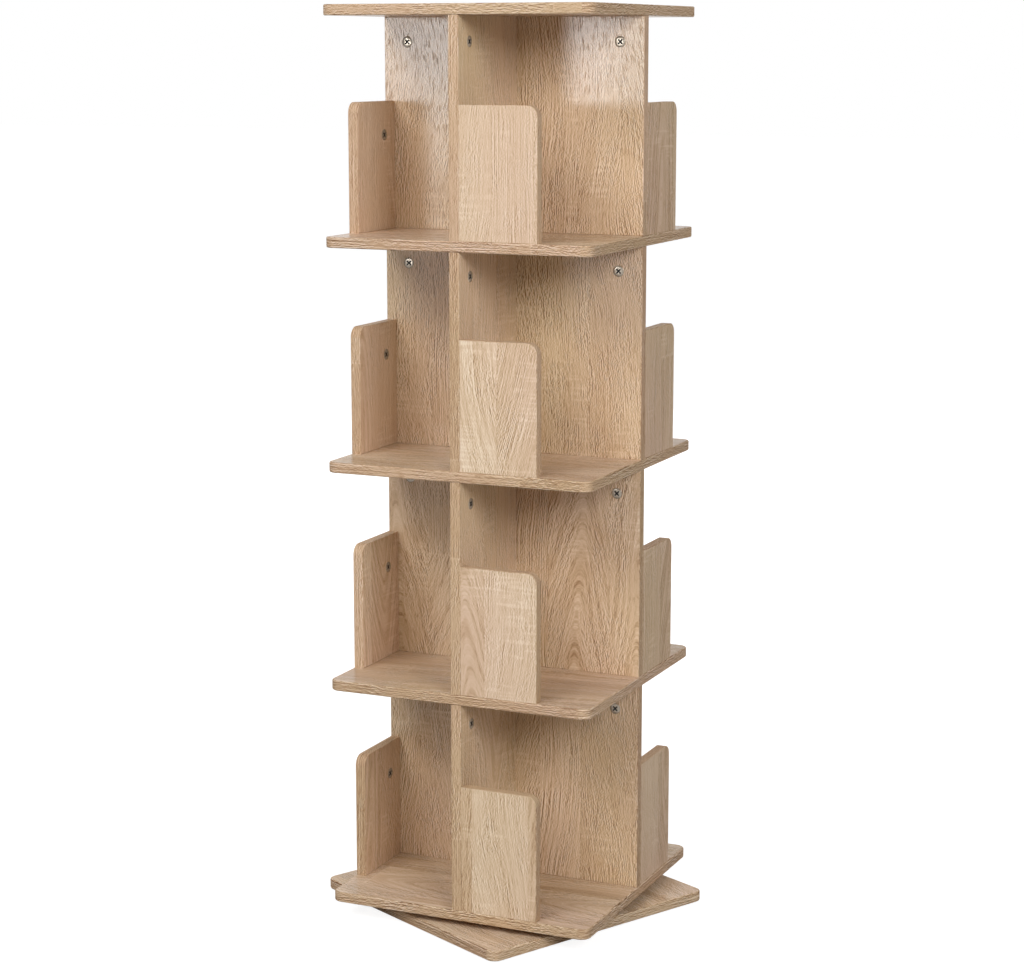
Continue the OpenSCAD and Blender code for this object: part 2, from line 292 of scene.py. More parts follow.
def cut_board(name, across, along, arris, corner_radii, print_number, place, pockets=()):
    """Mesh of one board, grain along its second side. A pocket is (across, along, face, radius, depth).

    Every face corner keeps its place on the print as (across, along, print number), which the oak
    finish reads, and how far it lies on a rounded arris, where wear has made the print paler and a
    highlight is painted on.
    """
    board = bmesh.new()
    grain = board.loops.layers.float_vector.new("grain")
    arris_wear_and_highlight = board.loops.layers.float.new("arris_wear_and_highlight")
    face_height = board_thickness / 2

    # rounded edge, from the lower face round to the upper one
    levels = []
    for step in range(arris_steps + 1):
        angle = math.pi / 2 * step / arris_steps
        levels.append((arris * (1 - math.sin(angle)), arris * (1 - math.cos(angle)) - face_height))
    levels += [(inset, -height) for inset, height in reversed(levels)]
    rings = []
    for inset, height in levels:
        outline = board_outline(across / 2, along / 2, corner_radii, inset)
        rings.append([board.verts.new((point.x, point.y, height)) for point in outline])
    outline = board_outline(across / 2, along / 2, corner_radii, 0)
    walked = [0]
    for here, after in zip(outline, outline[1:] + outline[:1]):
        walked.append(walked[-1] + (after - here).length)
    for level, (lower, upper) in enumerate(zip(rings, rings[1:])):
        steps_in = [min(n, len(levels) - 1 - n) / arris_steps for n in (level, level + 1)]
        # wear and a painted highlight along the arris, strongest midway round it
        wear_and_highlight = [math.sin(math.pi * min(n, 1)) if level != arris_steps else 0 for n in steps_in]
        for i in range(len(outline)):
            j = (i + 1) % len(outline)
            face = board.faces.new((lower[i], lower[j], upper[j], upper[i]))
            face.material_index = band_finish
            face.smooth = True
            corners = ((0, i), (0, i + 1), (1, i + 1), (1, i))
            for loop, (up, around) in zip(face.loops, corners):
                loop[grain] = (loop.vert.co.z, walked[around], print_number + band_part)
                loop[arris_wear_and_highlight] = wear_and_highlight[up]

    # the two faces, and the pockets drilled into them
    for side, ring, part in ((lower_face, rings[0], 0), (upper_face, rings[-1], upper_part)):
        rim_edges = []
        for centre_across, centre_along, drilled_face, radius, depth in pockets:
            if drilled_face != side:
                continue
            wall = []
            for reach, sunk in ((radius + pocket_rim, 0), (radius, pocket_rim), (radius, depth)):
                hoop = []
                for i in range(pocket_segments):
                    angle = 2 * math.pi * i / pocket_segments
                    x = centre_across + reach * math.cos(angle)
                    y = centre_along + reach * math.sin(angle)
                    hoop.append(board.verts.new((x, y, side * (face_height - sunk))))
                wall.append(hoop)
            for upper, lower in zip(wall, wall[1:]):
                for i in range(pocket_segments):
                    j = (i + 1) % pocket_segments
                    quad = (upper[i], upper[j], lower[j], lower[i])
                    board.faces.new(quad if side > 0 else reversed(quad)).material_index = core_finish
            rim_edges += [board.edges.get((a, b)) for a, b in zip(wall[0], wall[0][1:] + wall[0][:1])]
            floor = wall[-1]
            board.faces.new(floor if side > 0 else reversed(floor)).material_index = core_finish
        if rim_edges:
            edges = [board.edges.get((a, b)) for a, b in zip(ring, ring[1:] + ring[:1])]
            filled = bmesh.ops.triangle_fill(board, edges=edges + rim_edges, use_beauty=True)
            faces = [g for g in filled["geom"] if isinstance(g, bmesh.types.BMFace)]
        else:
            faces = [board.faces.new(ring)]
        for face in faces:
            face.normal_update()
            if face.normal.z * side < 0:
                face.normal_flip()
            face.smooth = True
            for loop in face.loops:
                loop[grain] = (loop.vert.co.x, loop.vert.co.y, print_number + part)

    mesh = as_mesh(name, board)
    mesh.transform(place)
    mesh.set_sharp_from_angle(angle=sharp_bend_of_board)
    return mesh


def ease(tree, value, low, high, start, end):
    """Output that goes smoothly from start to end while a value goes from low to high."""
    inputs = {"Value": value, "From Min": low, "From Max": high, "To Min": start, "To Max": end}
    step = add_step(tree, "ShaderNodeMapRange", inputs, interpolation_type="SMOOTHSTEP")
    return step.outputs["Result"]


def oak_print(name, mark_strength, figure_strength, gloss, rosy=oak_rosy, straw=oak_straw):
    """Pale rough-sawn oak, printed on melamine.

    Staves of several widths lie side by side, each straight in the grain or in pointed arches, with
    short dark pores, paler fibres and the odd row of saw marks.
    """
    finish, tree, shader = new_finish(name)
    place = add_step(tree, "ShaderNodeAttribute", {}, attribute_name="grain").outputs["Vector"]
    parts = add_step(tree, "ShaderNodeSeparateXYZ", {"Vector": place}).outputs
    across, along, number = parts["X"], parts["Y"], parts["Z"]

    def times(value, factor):
        return calc(tree, "MULTIPLY", value, factor)

    def plus(value, other):
        return calc(tree, "ADD", value, other)

    def minus(value, other):
        return calc(tree, "SUBTRACT", value, other)

    def swing(value):
        """A value from 0 to 1, as a swing to both sides of nought."""
        return minus(value, 0.5)

    def between(value, low, high, start, end):
        return ease(tree, value, low, high, start, end)

    def first_part(colour):
        return add_step(tree, "ShaderNodeSeparateColor", {"Color": colour}).outputs[0]

    def spot_at(x, y, z):
        return add_step(tree, "ShaderNodeCombineXYZ", {"X": x, "Y": y, "Z": z}).outputs["Vector"]

    def pattern(x, per_metre_x, y, per_metre_y, depth, detail=1.0):
        """Noise of so many marks to the metre each way; depth picks its place in the print."""
        spot = spot_at(times(x, per_metre_x), times(y, per_metre_y), depth)
        return noise(tree, spot, 1.0, detail, roughness=0.6)

    def strips(at, feature):
        """Strips of uneven width, about one to each step along."""
        inputs = {"W": at, "Scale": 1.0, "Randomness": 0.85}
        options = {"voronoi_dimensions": "1D", "feature": feature}
        return add_step(tree, "ShaderNodeTexVoronoi", inputs, **options).outputs

    # staves side by side, each cut into lengths; every length has three chance numbers of its own
    stave_width = 85 * mm
    stave_length = 1100 * mm
    staves_per_board = 13.37
    lengths_per_board = 7.1
    lengths_per_stave = 31.0
    stave_pick = 97.0
    length_pick = 53.0
    layers_per_stave = 40.0
    stave_at = plus(times(across, 1 / stave_width), times(number, staves_per_board))
    stave = strips(stave_at, "F1")
    stave_number = first_part(stave["Color"])
    length_at = plus(times(along, 1 / stave_length), times(stave_number, lengths_per_stave))
    length_at = plus(length_at, times(number, lengths_per_board))
    length_number = first_part(strips(length_at, "F1")["Color"])
    chance_at = spot_at(times(stave_number, stave_pick), times(length_number, length_pick), number)
    chance_colour = add_step(tree, "ShaderNodeTexWhiteNoise", {"Vector": chance_at}).outputs["Color"]
    chance = add_step(tree, "ShaderNodeSeparateColor", {"Color": chance_colour}).outputs
    tone_chance, slope_chance, kind_chance = chance[0], chance[1], chance[2]
    own = plus(number, times(tone_chance, layers_per_stave))

    # the edges are a darker band, straight in the grain, and their arrises are worn paler, with a painted
    # highlight along them
    band_from = (upper_part + band_part) / 2
    on_edge = calc(tree, "GREATER_THAN", calc(tree, "FRACT", number), band_from)
    on_face = minus(1.0, on_edge)
    # how far a point lies on an arris, where wear and a painted highlight make the print paler
    arris_wear_and_highlight = add_step(tree, "ShaderNodeAttribute", {}, attribute_name="arris_wear_and_highlight").outputs["Fac"]

    # every pattern comes from a layer of its own, so that no two of them run alike
    wander_layer = 51.0
    drift_layer = 17.0
    blush_layer = 41.0
    growth_layer = 7.0
    patch_layer = 61.0
    line_layer = 5.0
    dash_layer = 11.0
    grit_layer = 13.0
    pore_layer = 3.0
    saw_row_layer = 23.0
    saw_patch_layer = 29.0

    # lines of the grain: straight or slanting in most staves, or arched as a flat-sawn log shows them
    arch_nose = 9 * mm
    arch_lean = 0.3
    arch_from = 0.68
    steepest_slant = 0.2
    wander_reach = 40 * mm
    band_sway = 8 * mm
    face_sway = 22 * mm
    wander = swing(pattern(tone_chance, 9.0, along, 4.0, plus(own, wander_layer), 0.0))
    from_middle = times(minus(stave_at, stave["W"]), stave_width)
    from_middle = plus(from_middle, times(times(wander, wander_reach), on_face))
    nose = plus(times(from_middle, from_middle), arch_nose ** 2)
    arch_slope = between(slope_chance, 0.0, 1.0, -arch_lean, arch_lean)
    arch = plus(calc(tree, "SQRT", nose), times(arch_slope, along))
    either_way = times(swing(slope_chance), 2.0)
    steepness = times(calc(tree, "POWER", calc(tree, "ABSOLUTE", either_way), 2.0), steepest_slant)
    slant = times(times(steepness, calc(tree, "SIGN", either_way)), along)
    straight = plus(from_middle, times(slant, on_face))
    arched = times(between(kind_chance, arch_from, arch_from + 0.02, 0, 1), on_face)
    straight_or_arch = add_step(tree, "ShaderNodeMix", {0: arched, 2: straight, 3: arch}).outputs[0]
    sway = swing(pattern(across, 7.0, along, 5.0, own))
    ring = plus(straight_or_arch, times(sway, plus(band_sway, times(on_face, face_sway))))
    # the two flanks of an arch never match
    layers_per_metre = 30.0
    flank = plus(own, times(from_middle, layers_per_metre))

    drift = pattern(across, 8.0, along, 4.0, plus(number, drift_layer), 2.0)
    blush = pattern(across, 5.0, along, 2.5, plus(number, blush_layer))
    bands = pattern(ring, 50.0, along, 1.5, own, 2.0)
    growth = pattern(ring, 200.0, along, 4.0, plus(flank, growth_layer), 0.0)
    growth = between(growth, 0.35, 0.65, 0, 1)

    # long lines in some staves, short dashes in others, and every dark mark has a light one beside it
    mark_apart = 1.2 * mm
    clear_nose = 25 * mm
    grit_weight = 0.75
    line_weight = between(kind_chance, 0.0, arch_from, 0.85, 0.3)
    dash_weight = between(kind_chance, 0.0, arch_from, 0.35, 0.8)
    off_nose = between(nose, 0.0, clear_nose ** 2, -0.8, 0.0)
    clear_of_nose = plus(times(arched, off_nose), 1.0)
    patches = pattern(ring, 30.0, along, 14.0, plus(own, patch_layer), 1.0)
    boldness = times(clear_of_nose, between(patches, 0.3, 0.7, 0.45, 1.45))

    def marks_at(line):
        lines = times(pattern(line, 700.0, along, 11.0, plus(flank, line_layer), 0.0), line_weight)
        dashes = times(pattern(line, 700.0, along, 110.0, plus(flank, dash_layer), 0.0), dash_weight)
        grit = times(pattern(line, 750.0, along, 450.0, plus(flank, grit_layer), 0.0), grit_weight)
        return plus(plus(lines, dashes), grit)

    crisp = times(minus(marks_at(ring), marks_at(plus(ring, mark_apart))), boldness)
    pores = between(pattern(ring, 560.0, along, 70.0, plus(flank, pore_layer), 0.0), 0.6, 0.68, 0, 1)
    saw_rows = between(pattern(across, 20.0, along, 210.0, plus(number, saw_row_layer)), 0.48, 0.66, 0, 1)
    saw_patch = between(pattern(across, 12.0, along, 8.0, plus(own, saw_patch_layer)), 0.53, 0.63, 0, 1)
    saw = times(times(saw_rows, saw_patch), on_face)
    seam = between(strips(stave_at, "DISTANCE_TO_EDGE")["Distance"], 0.0, 0.016, 1, 0)
    end_cut = between(strips(length_at, "DISTANCE_TO_EDGE")["Distance"], 0.0, 0.002, 1, 0)

    # how much each of them lightens or darkens the print
    mean_tone = 0.64
    band_weight = 0.14 * figure_strength
    drift_weight = 0.12
    ring_weight = plus(0.05, times(arched, 0.14))
    stave_weight = 0.18
    calm_on_edge = between(on_edge, 0.0, 1.0, 1.0, 0.35)
    marks = [
        (pores, -0.14 * mark_strength),
        (saw, 0.13),
        (seam, -0.08),
        (end_cut, 0.1),
        (on_edge, -0.15),
        # the arrises: paler from wear and from a painted highlight
        (arris_wear_and_highlight, 0.08),
    ]
    figure = plus(times(swing(bands), band_weight), times(swing(drift), drift_weight))
    figure = plus(figure, times(swing(growth), ring_weight))
    tone = plus(mean_tone, times(crisp, mark_strength))
    tone = plus(tone, times(figure, calm_on_edge))
    tone = plus(tone, times(swing(tone_chance), stave_weight))
    for mark, weight in marks:
        tone = plus(tone, times(mark, weight))

    shades = [(0.0, oak_pore), (1.0, oak_pale), (0.28, oak_dark), (0.55, oak_middle), (0.78, oak_light)]
    wash = tint(tree, blush, [(0.35, rosy), (0.65, straw)])
    inputs = {0: 1.0, 6: tint(tree, tone, shades), 7: wash}
    washed = add_step(tree, "ShaderNodeMix", inputs, data_type="RGBA", blend_type="MULTIPLY").outputs[2]
    print_roughness = 0.22
    pore_roughness = 0.12
    print_relief = 0.1 * mm
    tree.links.new(washed, shader.inputs["Base Color"])
    shader.inputs["Specular IOR Level"].default_value = gloss
    tree.links.new(plus(print_roughness, times(pores, pore_roughness)), shader.inputs["Roughness"])
    emboss(tree, shader, minus(crisp, pores), print_relief, strength=0.15)
    return finish


def chip_core():
    """Pressed wood chips, as a drill leaves them in the middle of the board."""
    finish, tree, shader = new_finish("chip_core")
    inputs = {"Vector": place_on_piece(tree), "Scale": core_chips_per_metre}
    chips = add_step(tree, "ShaderNodeTexVoronoi", inputs).outputs
    flakes = add_step(tree, "ShaderNodeSeparateColor", {"Color": chips["Color"]}).outputs[0]
    shades = [(0.1, core_dark), (0.9, core_light)]
    tree.links.new(tint(tree, flakes, shades), shader.inputs["Base Color"])
    shader.inputs["Roughness"].default_value = 0.9
    emboss(tree, shader, chips["Distance"], core_relief, strength=0.7)
    return finish


shelf_oak = oak_print("shelf_oak", mark_strength=1.3, figure_strength=5.0, gloss=0.1)
shelf_band = oak_print("shelf_band", mark_strength=1.2, figure_strength=3.0, gloss=0.004)
core = chip_core()


def show_board(name, mesh, oak, band, body, node):
    """A board with its faces, bare pockets and bands, shaded flat on its faces and round on its arrises."""
    piece = show(name, mesh, [oak, core, band], body, "oak_board", node)
    piece.modifiers.new("flat_faces", "WEIGHTED_NORMAL").keep_sharp = True


# a shelf's own directions: grain along X, so its first side runs along -Y
lying = Matrix(((0, 1, 0, 0), (-1, 0, 0, 0), (0, 0, 1, 0), (0, 0, 0, 1)))
base_pockets = []
for turn in ring_screw_turns:
    spot_on_plate = lying.inverted() @ Vector((math.cos(turn), math.sin(turn), 0)) * base_screw_circle
    base_pockets.append((spot_on_plate.x, spot_on_plate.y, lower_face, base_screw_pocket, base_screw_sunk))
base_low, base_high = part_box("base_plate")
base_middle = Matrix.Translation((0, 0, (base_low.z + base_high.z) / 2))
base_place = base_middle @ Matrix.Rotation(base_turn, 4, "Z") @ lying
all_round = [shelf_corner] * 4
base_mesh = cut_board(
    "base_plate_board", base_side, base_side, shelf_arris, all_round, base_print, base_place, base_pockets,
)
show_board("base_plate_board", base_mesh, shelf_oak, shelf_band, "base", "base_plate")


# Turntable
# Two satin aluminium race rings, one screwed to the base plate and one to the bottom shelf.
# Steel balls in a thin nylon cage run between them, and zinc screws hold the rings.
ball_count = 36
ball_radius = 2.5 * mm
ball_circle = 110 * mm
ball_segments = 24
ball_rings = 12
ball_pole = math.radians(86)
ring_dull = "#a9acb0"
ring_bright = "#cfd2d6"
nylon_shade = "#cfc7b2"
nylon_light = "#e8e2d2"
nylon_streaks_per_metre = 90
nylon_grains_per_metre = 1500
nylon_relief = 0.1 * mm
steel_shade = "#b3b5b9"
steel_light = "#d6d8dc"
zinc_shade = "#86827c"
zinc_light = "#aca8a1"
tool_marks_to_a_cloud = 12


def turned_metal(name, dull, bright, marks_per_metre, rough, depth, bare=1.0):
    """Metal with fine tool marks, which its colour, roughness and relief all follow.

    Bare is 1 for clean metal and less where a dull skin covers it.
    """
    finish, tree, shader = new_finish(name)
    place = place_on_piece(tree)
    marks = noise(tree, place, marks_per_metre, detail=4, roughness=0.65)
    clouds = noise(tree, place, marks_per_metre / tool_marks_to_a_cloud)
    shades = [(0.3, dull), (0.7, bright)]
    tree.links.new(tint(tree, average(tree, marks, clouds), shades), shader.inputs["Base Color"])
    shader.inputs["Metallic"].default_value = bare
    roughened = calc(tree, "ADD", calc(tree, "MULTIPLY", marks, 0.2), rough)
    tree.links.new(roughened, shader.inputs["Roughness"])
    emboss(tree, shader, marks, depth, strength=0.25)
    return finish


def moulded_nylon():
    """Milky plastic with faint streaks, from the way it ran into the mould."""
    finish, tree, shader = new_finish("moulded_nylon")
    place = place_on_piece(tree)
    streaks = noise(tree, place, nylon_streaks_per_metre, detail=3)
    grains = noise(tree, place, nylon_grains_per_metre)
    shades = [(0.35, nylon_shade), (0.7, nylon_light)]
    tree.links.new(tint(tree, streaks, shades), shader.inputs["Base Color"])
    shader.inputs["Roughness"].default_value = 0.5
    shader.inputs["Subsurface Weight"].default_value = 0.1
    emboss(tree, shader, grains, nylon_relief, strength=0.2)
    return finish


aluminium = turned_metal("satin_aluminium", ring_dull, ring_bright, 900, rough=0.32, depth=0.05 * mm)
bearing_steel = turned_metal("bearing_steel", steel_shade, steel_light, 400, rough=0.08, depth=0.01 * mm)
zinc = turned_metal("bright_zinc", zinc_shade, zinc_light, 1200, rough=0.1, depth=0.02 * mm)
nylon = moulded_nylon()


def refinish(finish, *nodes):
    """Gives pieces that keep their own shape a new finish."""
    for node in nodes:
        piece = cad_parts[node]
        piece.data.materials.clear()
        piece.data.materials.append(finish)


refinish(aluminium, "turntable_inner_ring", "turntable_outer_ring")
refinish(nylon, "ball_cage")
refinish(zinc, "base_ring_screws", "shelf_ring_screws")

tilts = [ball_pole * (2 * ring / ball_rings - 1) for ring in range(ball_rings + 1)]
ball_profile = [(ball_radius * math.cos(tilt), ball_radius * math.sin(tilt)) for tilt in tilts]
race_low, race_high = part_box("race_balls")
race_start = Matrix.Translation((ball_circle, 0, (race_low.z + race_high.z) / 2))
race = bmesh.new()
for number in range(ball_count):
    ball_turn = Matrix.Rotation(2 * math.pi * number / ball_count, 4, "Z")
    turn_profile(race, ball_profile, ball_segments, ball_turn @ race_start)
race_mesh = as_mesh("steel_race_balls", race)
show("steel_race_balls", race_mesh, [bearing_steel], "ball_race", "bearing_steel", "race_balls")


# Shelves and top board
# Five squares of the same printed board, the grain running from side to side, rounded over all round.
# Each of the lower four is drilled from below for the screws of the dividers and stops that stand on it.
shelf_prints = {
    "bottom_shelf": 11,
    "second_shelf": 12,
    "third_shelf": 13,
    "fourth_shelf": 14,
    "top_board": 15,
}
edge_setback = 1 * mm
half_tower = board_side / 2 - edge_setback
divider_screws_at = [60 * mm, 130 * mm]
stop_screw_from_divider = 75 * mm
head_pocket = 5.15 * mm
head_sunk = 3.5 * mm
arm_turns = [math.radians(90 * arm) for arm in range(4)]

stop_line = board_thickness / 2 - half_tower
stop_screw_at = Vector((board_thickness / 2 + stop_screw_from_divider, stop_line, 0))
arm_screws = [Vector((0, -reach, 0)) for reach in divider_screws_at] + [stop_screw_at]
shelf_pockets = []
for turn in arm_turns:
    for screw_place in arm_screws:
        on_board = lying.inverted() @ Matrix.Rotation(turn, 4, "Z") @ screw_place
        shelf_pockets.append((on_board.x, on_board.y, lower_face, head_pocket, head_sunk))
for node, print_number in shelf_prints.items():
    low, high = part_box(node)
    shelf_place = Matrix.Translation((0, 0, (low.z + high.z) / 2)) @ lying
    drilled = [] if node == "top_board" else shelf_pockets
    shelf_mesh = cut_board(
        node + "_oak", board_side, board_side, shelf_arris, all_round, print_number, shelf_place, drilled,
    )
    show_board(node + "_oak", shelf_mesh, shelf_oak, shelf_band, "tower", node)


# Dividers
# In each tier one long divider crosses the shelf and two half dividers butt against its middle.
# The same printed board, grain upright, drilled near the upper outer corners for the cam nuts.
tiers = range(1, 5)
divider_arris = 0.8 * mm
cam_pocket = 7.65 * mm
cam_pocket_depth = 12.65 * mm
cam_from_axis = 163 * mm
cam_below_top = 35 * mm
square_corners = [0] * 4
long_divider_prints = [44, 41, 35, 37]
half_divider_prints = {"front": [87, 94, 98, 90], "back": [91, 92, 93, 95]}
half_divider_turns = {"front": 0, "back": math.pi}
half_width = half_tower - board_thickness / 2
half_middle = (half_tower + board_thickness / 2) / 2
divider_rosy = "#fffaf1"
divider_straw = "#fdfcec"
divider_oak = oak_print("divider_oak", 1.3, 1.2, gloss=0.3, rosy=divider_rosy, straw=divider_straw)
upright_band = oak_print("upright_band", mark_strength=0.75, figure_strength=1.0, gloss=0.004)


def standing(turn, middle, run):
    """Place of an upright board: grain up, its first side along run before the arm's turn."""
    run = Vector(run)
    up = Vector((0, 0, 1))
    out = run.cross(up)
    stand = Matrix((run, up, out)).transposed().to_4x4()
    return Matrix.Rotation(turn, 4, "Z") @ Matrix.Translation(middle) @ stand


for tier in tiers:
    node = f"tier{tier}_long_divider"
    low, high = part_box(node)
    height = high.z - low.z
    middle_z = (low.z + high.z) / 2
    cam_height = height / 2 - cam_below_top
    long_cams = []
    for cam_across in (-cam_from_axis, cam_from_axis):
        long_cams.append((cam_across, cam_height, upper_face, cam_pocket, cam_pocket_depth))
    long_mesh = cut_board(
        node + "_oak", 2 * half_tower, height, divider_arris, square_corners,
        long_divider_prints[tier - 1], standing(0, (0, 0, middle_z), (1, 0, 0)), long_cams,
    )
    show_board(node + "_oak", long_mesh, divider_oak, upright_band, "tower", node)

    half_cams = [(half_middle - cam_from_axis, cam_height, upper_face, cam_pocket, cam_pocket_depth)]
    for side, turn in half_divider_turns.items():
        node = f"tier{tier}_{side}_divider"
        half_place = standing(turn, (0, -half_middle, middle_z), (0, 1, 0))
        half_mesh = cut_board(
            node + "_oak", half_width, height, divider_arris, square_corners,
            half_divider_prints[side][tier - 1], half_place, half_cams,
        )
        show_board(node + "_oak", half_mesh, divider_oak, upright_band, "tower", node)


# Book stops
# Low upright boards at the outer end of each arm that keep books from sliding out, one top corner rounded.
# A cam nut in the inner face draws each one to the divider, and a screw from below holds its foot.
stop_width = 115 * mm
stop_corner = 15 * mm
stop_cam_from_divider = 33 * mm
stop_cam_height = 134.5 * mm
stop_corners = [stop_corner, 0, 0, 0]
stop_prints = {
    # the top tier's front stop takes print 59, the palest and rosiest, as a painted sheen
    "front": [65, 75, 64, 59],
    # the right stops take prints with darker staves, as the real boards have, and partly as painted shade
    # on the right side
    "right": [53, 83, 58, 68],
    "back": [77, 78, 80, 81],
    "left": [76, 70, 61, 82],
}
stop_oak = oak_print("stop_oak", mark_strength=0.75, figure_strength=1.3, gloss=0.005)

for tier in tiers:
    for side, turn in zip(stop_prints, arm_turns):
        node = f"tier{tier}_{side}_stop"
        low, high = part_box(node)
        height = high.z - low.z
        middle = (board_thickness / 2 + stop_width / 2, stop_line, (low.z + high.z) / 2)
        cam_across = stop_cam_from_divider - stop_width / 2
        cam = (cam_across, stop_cam_height - height / 2, lower_face, cam_pocket, cam_pocket_depth)
        stop_mesh = cut_board(
            node + "_oak", stop_width, height, divider_arris, stop_corners,
            stop_prints[side][tier - 1], standing(turn, middle, (1, 0, 0)), [cam],
        )
        show_board(node + "_oak", stop_mesh, stop_oak, upright_band, "tower", node)


# Cam nuts
# Die-cast zinc drums, flush with the board's face, with a cross for the screwdriver and a chamfered rim.
# Turned part of a turn, each one catches the head of its bolt and draws the next board tight.
cam_radius = 7.5 * mm
cam_depth = 12.5 * mm
cam_chamfer = 0.4 * mm
cam_edge = 0.2 * mm
cam_segments = 48
cross_length = 9 * mm
cross_width = 2.3 * mm
cross_depth = 2.6 * mm
cross_draft = 0.25 * mm
cross_turn = math.radians(45)
bolt_bore = 3.65 * mm
bolt_head_room = 1.9 * mm
weld_distance = 0.005 * mm
sharp_bend_of_nut = math.radians(35)
cast_shade = "#958b7d"
cast_light = "#b5aa9a"
# colours of the painted shade inside the cross recess
cross_painted_shade_dark = "#141312"
cross_painted_shade_light = "#272523"
cast_skin = 0.3


def cut_away(solid, cutter):
    """Mesh of one closed solid with another taken out of it."""
    pieces = []
    for part in (solid, cutter):
        pieces.append(bpy.data.objects.new("cut", as_mesh("cut", part)))
        bpy.context.scene.collection.objects.link(pieces[-1])
    blank, tool = pieces
    saw = blank.modifiers.new("saw", "BOOLEAN")
    saw.operation = "DIFFERENCE"
    saw.object = tool
    ready = blank.evaluated_get(bpy.context.evaluated_depsgraph_get())
    result = bpy.data.meshes.new_from_object(ready)
    for piece in pieces:
        bpy.data.meshes.remove(piece.data)
    # the cut leaves a few points twice, which would come out as faces without width
    welded = bmesh.new()
    welded.from_mesh(result)
    bmesh.ops.remove_doubles(welded, verts=welded.verts, dist=weld_distance)
    welded.to_mesh(result)
    welded.free()
    return result


def cross_outline(length, width, height, solid):
    """The twelve corners of a cross, anticlockwise."""
    far = length / 2
    near = width / 2
    corners = []
    for turn in arm_turns:
        for point in ((far, -near), (far, near), (near, near)):
            corners.append(solid.verts.new(Matrix.Rotation(turn, 3, "Z") @ Vector((*point, height))))
    return corners


def cam_drum():
    """One nut, its face at height 0 and its drum below, the bolt's bore coming in along -Y."""
    drum = bmesh.new()
    profile = [
        (cam_radius - cam_edge, -cam_depth),
        (cam_radius, -cam_depth + cam_edge),
        (cam_radius, -cam_chamfer),
        (cam_radius - cam_chamfer, -cam_edge / 2),
        (cam_radius - cam_chamfer - cam_edge, 0),
    ]
    turn_profile(drum, profile, cam_segments, Matrix())
    cross = bmesh.new()
    mouth = cross_outline(cross_length, cross_width, cross_draft, cross)
    foot_length = cross_length - 2 * cross_draft
    foot = cross_outline(foot_length, cross_width - 2 * cross_draft, -cross_depth, cross)
    for i in range(len(mouth)):
        j = (i + 1) % len(mouth)
        cross.faces.new((foot[i], foot[j], mouth[j], mouth[i]))
    cross.faces.new(mouth)
    cross.faces.new(reversed(foot))
    bmesh.ops.rotate(cross, verts=cross.verts, matrix=Matrix.Rotation(cross_turn, 3, "Z"))
    crossed = cut_away(drum, cross)
    drum = bmesh.new()
    drum.from_mesh(crossed)
    bore = bmesh.new()
    bore_start = Matrix.Translation((0, bolt_head_room, -board_thickness / 2))
    bore_place = bore_start @ Matrix.Rotation(math.pi / 2, 4, "X")
    turn_profile(bore, [(bolt_bore, 0), (bolt_bore, 2 * cam_radius)], cam_segments, bore_place)
    nut = cut_away(drum, bore)
    # the cross is painted dark as the shade in its recess, the rest as cast
    for face in nut.polygons:
        at_depth = -cross_depth - cam_edge < face.center.z < -cam_edge
        face.material_index = int(at_depth and face.center.xy.length < cross_length / 2)
    return nut


cast_zinc = turned_metal("cast_zinc", cast_shade, cast_light, 1200, 0.17, 0.02 * mm, bare=cast_skin)
# painted shade: the cross recess gets this darker zinc
painted_shade_zinc = turned_metal("painted_shade_zinc", cross_painted_shade_dark, cross_painted_shade_light, 1200, 0.5, 0.04 * mm, bare=cast_skin)
one_cam = cam_drum()


def set_cams(name, node, places):
    """All the nuts of one kind, each at its place."""
    nuts = bmesh.new()
    for place in places:
        before = len(nuts.verts)
        nuts.from_mesh(one_cam)
        nuts.verts.ensure_lookup_table()
        bmesh.ops.transform(nuts, matrix=place, verts=nuts.verts[before:])
    mesh = as_mesh(name, nuts)
    mesh.set_sharp_from_angle(angle=sharp_bend_of_nut)
    show(name, mesh, [cast_zinc, painted_shade_zinc], "tower", "zinc_fitting", node)


right_arm = 1
divider_cam_places = []
stop_cam_places = []
for tier in tiers:
    low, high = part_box(f"tier{tier}_long_divider")
    cam_z = high.z - cam_below_top
    for arm, turn in enumerate(arm_turns):
        # the bolt comes down from the shelf above; the long divider has both of its nuts at the front
        facing = -1 if arm == right_arm else 1
        face = Matrix.Translation((facing * board_thickness / 2, -cam_from_axis, cam_z))
        look = Matrix(((0, 0, facing), (facing, 0, 0), (0, 1, 0))).to_4x4()
        down = look @ Matrix.Rotation(math.pi, 4, "Z")
        divider_cam_places.append(Matrix.Rotation(turn, 4, "Z") @ face @ down)

        # a stop's bolt comes out of the divider's face, and its nut looks to the inside
        aside = board_thickness / 2 + stop_cam_from_divider
        inside = (aside, stop_line + board_thickness / 2, low.z + stop_cam_height)
        look = Matrix(((0, 1, 0), (0, 0, 1), (1, 0, 0))).to_4x4()
        stop_cam_places.append(Matrix.Rotation(turn, 4, "Z") @ Matrix.Translation(inside) @ look)
set_cams("divider_cam_drums", "divider_cam_nuts", divider_cam_places)
set_cams("stop_cam_drums", "stop_cam_nuts", stop_cam_places)


# Bolts, dowels and screws
# Zinc bolts and board screws, and fluted beech dowels, all but the screw heads shut away in the boards.
# They keep the shapes that they have and get only their finish here.
beech_shade = "#b98f5c"
beech_light = "#dcb98a"
beech_fibres_per_metre = (900, 900, 120)
beech_relief = 0.2 * mm


